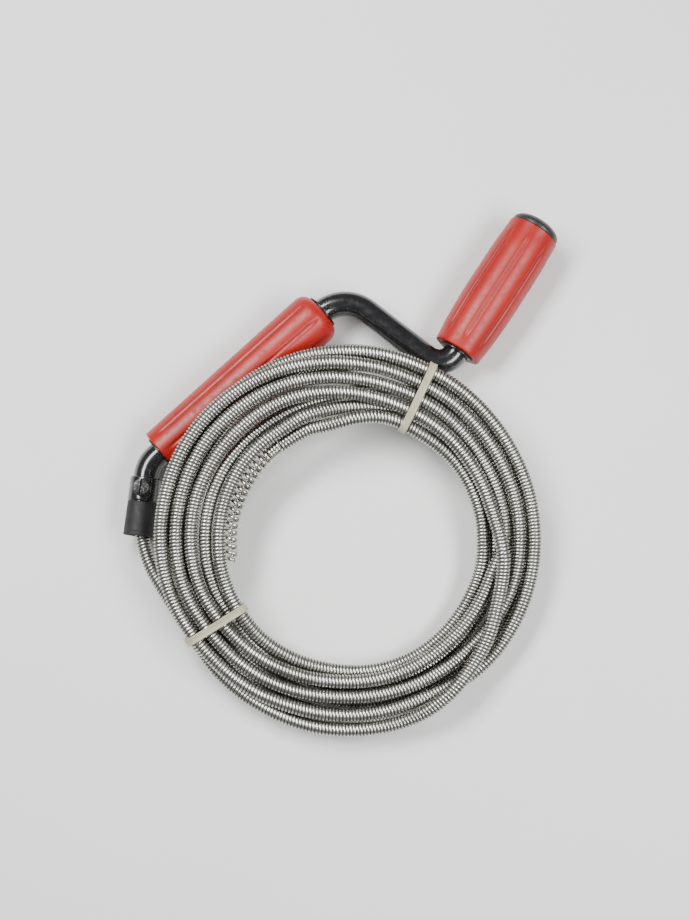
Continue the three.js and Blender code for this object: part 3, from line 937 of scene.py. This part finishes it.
def add_collar(material):
    """The collar with its boss. The paint is rubbed at the boss's rim."""
    bore, start, end = TUBE_RADIUS + GAP, COLLAR_START, COLLAR_END
    boss_base, worn_from, worn_over = 8.7, 11.6, 0.8
    ring = rounded([
        (bore, start, 0.25), (COLLAR_RADIUS, start, 0.9), (COLLAR_RADIUS, end, 0.9),
        (bore, end, 0.25),
    ])
    piece = turned_piece("clamp_collar", ring, SPOUT, material, "crank")
    boss = rounded([
        (0, boss_base, 0), (BOSS_RADIUS, boss_base, 0), (BOSS_RADIUS, BOSS_TOP, 0.6),
        (0, BOSS_TOP, 0),
    ])
    vertices, faces = turned_mesh(boss, 96)
    cut(piece, moved_points(CLAMP, vertices), faces, join=True)
    drill(piece, 5, 14, 64)
    low, high = start - 0.5, end + 1
    vertices, faces = turned_mesh([(0, low), (bore, low), (bore, high), (0, high)], 96)
    cut(piece, moved_points(SPOUT, vertices), faces)
    shade(piece.data, 35)
    points = np.array([v.co for v in piece.data.vertices])
    height = (points - np.array(CLAMP_POINT)) @ np.array(CRANK_UP) / MM
    add_attribute(piece, "wear", np.clip((height - worn_from) / worn_over, 0, 1) * 0.9)
    return piece


def thread_shape(low, high, pitch=1.0, depth=0.55, fade_length=0.5):
    """A right-hand thread between two heights, which fades in and out at its ends."""
    def shape(radius, height, angle):
        if not low <= height <= high:
            return radius
        turn = (height / pitch - angle / (2 * math.pi)) % 1
        fade = min(1, (height - low) / fade_length, (high - height) / fade_length)
        return radius - depth * fade * abs(2 * turn - 1)
    return shape


def add_slotted_screw(name, place, shank, head, material, body):
    """An M6 screw whose thread runs between a point and an undercut below the head."""
    shank_low, shank_high = shank
    point, undercut, row_step = 0.5, 0.35, 0.125
    half_slot, slot_depth = 0.7, 1.6
    top = shank_high + head
    neck = SCREW_RADIUS - undercut
    thread_low, thread_high = shank_low + point, shank_high - 0.3
    profile = [(0, shank_low), (SCREW_RADIUS - point, shank_low)]
    profile += [(SCREW_RADIUS, float(row)) for row in np.arange(thread_low, thread_high, row_step)]
    profile += [(neck, shank_high - 0.25), (neck, shank_high)]
    profile += rounded([
        (neck, shank_high, 0), (SCREW_HEAD_RADIUS, shank_high, 0.35),
        (SCREW_HEAD_RADIUS, top, 0.9), (0, top, 0),
    ])[1:]
    shape = thread_shape(thread_low, thread_high)
    piece = turned_piece(name, profile, place, material, body, 64, shape)
    across = 3 * SCREW_HEAD_RADIUS
    corners = [
        (x, y, z) for x in (-half_slot, half_slot) for y in (-across, across)
        for z in (top - slot_depth, top + 2)
    ]
    faces = [(0, 1, 3, 2), (4, 6, 7, 5), (0, 4, 5, 1), (2, 3, 7, 6), (0, 2, 6, 4), (1, 5, 7, 3)]
    cut(piece, moved_points(place, corners), faces)
    shade(piece.data, 35)
    return piece


def ring_piece(name, place, radii, ends, rounding, material):
    (inner, outer), (low, high) = radii, ends
    corners = [(inner, low), (outer, low), (outer, high), (inner, high)]
    profile = rounded([(r, z, rounding) for r, z in corners], 4)
    return turned_piece(name, profile, place, material, "crank")


def add_hardware(zinc, dark, metal):
    """The washers, the insert, the ferrule, the two screws and the clamp's pad."""
    radii = (TURNING_BORE, TUBE_WASHER_RADIUS)
    for name, place, low in (
        ("front_grip_washer_front", FRONT, -GAP - TUBE_WASHER_THICKNESS),
        ("front_grip_washer_rear", FRONT, FRONT_GRIP_LENGTH + GAP),
        ("rear_grip_washer", REAR, -GAP - TUBE_WASHER_THICKNESS),
    ):
        ends = (low, low + TUBE_WASHER_THICKNESS)
        ring_piece(name, place, radii, ends, 0.25, dark)
    radii = (SCREW_HOLE, TUBE_BORE - GAP)
    ends = (REAR_TUBE_END - TUBE_INSERT_LENGTH, REAR_TUBE_END)
    ring_piece("tube_end_insert", REAR, radii, ends, 0.3, zinc)
    radii = (SCREW_HOLE, RETAINING_WASHER_RADIUS)
    ends = (REAR_TUBE_END + GAP, REAR_TUBE_END + GAP + RETAINING_WASHER_THICKNESS)
    ring_piece("rear_retaining_washer", REAR, radii, ends, 0.35, zinc)
    seat = REAR_TUBE_END + 2 * GAP + RETAINING_WASHER_THICKNESS
    shank = (REAR_TUBE_END - RETAINING_SCREW_LENGTH, seat)
    head = RETAINING_SCREW_HEAD
    add_slotted_screw("rear_retaining_screw", REAR, shank, head, zinc, "crank")
    radii = (CABLE_RADIUS + GAP, TUBE_BORE - GAP)
    ends = (FERRULE_START, FERRULE_END)
    ring_piece("cable_root_ferrule", SPOUT, radii, ends, 0.3, zinc)
    shank, head = CLAMP_SCREW_SHANK, CLAMP_SCREW_HEAD
    add_slotted_screw("clamp_screw", CLAMP, shank, head, dark, "clamp_screw")
    pad = rounded([
        (0, TUBE_BORE, 0), (SCREW_RADIUS, TUBE_BORE, 0.3), (SCREW_RADIUS, CLAMP_PAD_TOP, 0.3),
        (0, CLAMP_PAD_TOP, 0),
    ])
    turned_piece("clamp_pad", pad, CLAMP, metal, "clamp_pad", 64)


def add_sleeve(material):
    """The sleeve, with a fine groove around it near its mouth."""
    bore, lip = TUBE_RADIUS + GAP, SPOUT_TUBE_END + GAP
    outer, mouth = SLEEVE_RADIUS, SLEEVE_MOUTH
    profile = rounded([
        (bore, SLEEVE_START, 0.2), (outer, SLEEVE_START, 0.5),
        (outer, 35.4, 0.25), (9.28, 35.8, 0.2), (outer, 36.2, 0.25), (outer, mouth, 0.7),
        (SLEEVE_LIP_BORE, mouth, 0.5), (SLEEVE_LIP_BORE, lip, 0.1), (bore, lip, 0.1),
    ])
    return turned_piece("spout_sleeve", profile, SPOUT, material, "crank")


# ---- Grips ----

def fluted(length, depth, turn, bare, width=1.5, falloff=2.2, fade_in=9, fade_out=12):
    """Lengthwise flutes around a grip, which fade out towards its ends."""
    def flute(radius, height, angle):
        if radius <= TURNING_BORE + 3:
            return 0.0
        step = 2 * math.pi / FLUTES
        off = (angle - turn + step / 2) % step - step / 2
        across = abs(off) * radius / width
        fade = np.clip((height - bare) / fade_in, 0, 1)
        fade = fade * np.clip((length - bare - height) / fade_out, 0, 1)
        fade = fade * fade * (3 - 2 * fade)
        return depth * fade * math.exp(-(across**2) * falloff)
    return flute


def add_grip(name, profile, place, flute, material):
    """A turning grip. It is a body of its own, and its flutes are marked for painted shade."""
    def shape(radius, height, angle):
        return radius - flute(radius, height, angle)

    piece = turned_piece(
        name, dense(profile, 1.6), place, material, name, 224, shape, 45,
    )
    points = np.array([v.co for v in piece.data.vertices])
    local = (points - np.array(place.translation)) @ np.array(place.to_3x3())
    angle = np.arctan2(local[:, 1], local[:, 0])
    radius = np.hypot(local[:, 0], local[:, 1]) / MM
    height = local[:, 2] / MM
    depths = [flute(r, h, a) for r, h, a in zip(radius, height, angle)]
    add_attribute(piece, "groove", np.clip(np.array(depths) / 0.5, 0, 1))
    return piece


def dense(profile, spacing):
    """A profile with extra points along its long straight spans."""
    points = [profile[0]]
    for (r0, z0), (r1, z1) in zip(profile, profile[1:]):
        pieces = max(1, math.ceil(math.hypot(r1 - r0, z1 - z0) / spacing))
        for n in range(1, pieces + 1):
            points.append((r0 + (r1 - r0) * n / pieces, z0 + (z1 - z0) * n / pieces))
    return points


def add_front_grip(material):
    length, steps = FRONT_GRIP_LENGTH, 12
    dome_start = length - FRONT_DOME_LENGTH
    outline = rounded([
        (TURNING_BORE, 0, 0.3), (FRONT_GRIP_START_RADIUS, 0, 1.1),
        (FRONT_GRIP_END_RADIUS, dome_start, 0),
    ])
    for step in range(1, steps + 1):
        angle = math.pi / 2 * step / steps
        radius = FRONT_GRIP_END_RADIUS - FRONT_DOME_RADIUS * (1 - math.cos(angle))
        outline.append((radius, dome_start + FRONT_DOME_LENGTH * math.sin(angle)))
    outline.append((TURNING_BORE + 0.3, length))
    outline.append((TURNING_BORE, length - 0.3))
    flute = fluted(length, 0.75, math.radians(59), 3)
    return add_grip("front_grip", outline, FRONT, flute, material)


def add_rear_grip(material):
    length, end_radius = REAR_GRIP_LENGTH, REAR_GRIP_END_RADIUS
    knots = [
        (1, REAR_GRIP_BASE_RADIUS), (15, 17.1), (40, REAR_GRIP_BULGE_RADIUS), (72, 17.8),
        (length - 0.5, end_radius + 0.5),
    ]
    heights = np.linspace(1.2, length - 0.8, 72)
    side = eased(knots, 1, heights)
    outline = [(TURNING_BORE, 0.3), (TURNING_BORE + 0.3, 0), (14.7, 0), (15.4, 0.25)]
    outline += [(float(r), float(z)) for r, z in zip(side, heights)]
    outline += rounded([
        (end_radius + 0.5, length - 0.4, 0), (end_radius, length, 0.2),
        (COUNTERBORE_RADIUS, length, 0.3), (COUNTERBORE_RADIUS, REAR_GRIP_SHOULDER, 0.2),
        (TURNING_BORE, REAR_GRIP_SHOULDER, 0.2), (TURNING_BORE, REAR_GRIP_SHOULDER - 2, 0),
    ])[:-1]
    flute = fluted(length, 0.8, math.radians(90), 5)
    return add_grip("rear_grip", outline, REAR, flute, material)


def add_end_plug(material):
    """The plug: a hollow skirt in the counterbore, and a dome above a short rim."""
    seat = REAR_GRIP_LENGTH + GAP
    skirt, rim = 11.3, REAR_GRIP_END_RADIUS - 0.3
    skirt_wall, skirt_depth, floor_depth = 1.8, 5, 2.5
    dome_base, dome, steps = 1.5, 6.5, 20
    inside = skirt - skirt_wall
    outline = rounded([
        (0, seat - floor_depth, 0), (inside, seat - floor_depth, 0.3),
        (inside, seat - skirt_depth, 0.2), (skirt, seat - skirt_depth, 0.4), (skirt, seat, 0.2),
        (rim, seat, 0.3), (rim, seat + 1.4, 0),
    ])
    for step in range(steps):
        angle = math.pi / 2 * step / steps
        outline.append((rim * math.cos(angle), seat + dome_base + dome * math.sin(angle)))
    outline.append((0, seat + dome_base + dome))
    return turned_piece("rear_end_plug", outline, REAR, material, "rear_grip")


# ---- Stage ----

def add_floor(material):
    """A wide floor, just below the surface that the auger lies on, in metres."""
    reach, below = 6, 0.0003
    corners = [(-reach, -reach, 0), (reach, -reach, 0), (reach, reach, 0), (-reach, reach, 0)]
    mesh = add_mesh("floor", corners, [(0, 1, 2, 3)])
    mesh.materials.append(material)
    floor = add_object("floor", mesh)
    floor.location.z = -below


def add_light(name, place, energy):
    data = bpy.data.lights.new(name, "AREA")
    data.shape = "RECTANGLE"
    data.size, data.size_y = LIGHT_SIZE
    data.energy = energy
    light = add_object(name, data)
    light.location = place
    along = Vector(LIGHTS_AIM) - Vector(place)
    light.rotation_euler = along.to_track_quat("-Z", "Y").to_euler()


def add_world():
    world = bpy.data.worlds.new("world")
    world.use_nodes = True
    background = world.node_tree.nodes["Background"]
    background.inputs["Color"].default_value = (0.93, 0.95, 1.0, 1)
    background.inputs["Strength"].default_value = 0.24
    bpy.context.scene.world = world


# ---- Assembly ----

add_camera()
# The dark colour is the painted shade in the wire's valleys.
wire = spring_wire("spring_wire", (0.07, 0.07, 0.065))
stations = coil_stations()
centreline = cable_line(*stations)
cable = add_cable(centreline, wire)
auger_head = add_auger_head(wire)
cream = nylon()
ties = [add_tie(name, *stations, cream) for name in TIE_ANGLES]

paint, vinyl, red = black_paint(), black_vinyl(), red_plastic()
add_crank_tube(paint)
add_collar(paint)
add_hardware(zinc_steel(), black_oxide(), brass())
add_sleeve(vinyl)
add_front_grip(red)
add_rear_grip(red)
add_end_plug(black_plastic())

add_floor(pale_floor())
add_light("key", (-0.55, 0.35, 1.1), 26)
add_light("fill", (0.65, -0.25, 1.0), 17)
add_world()
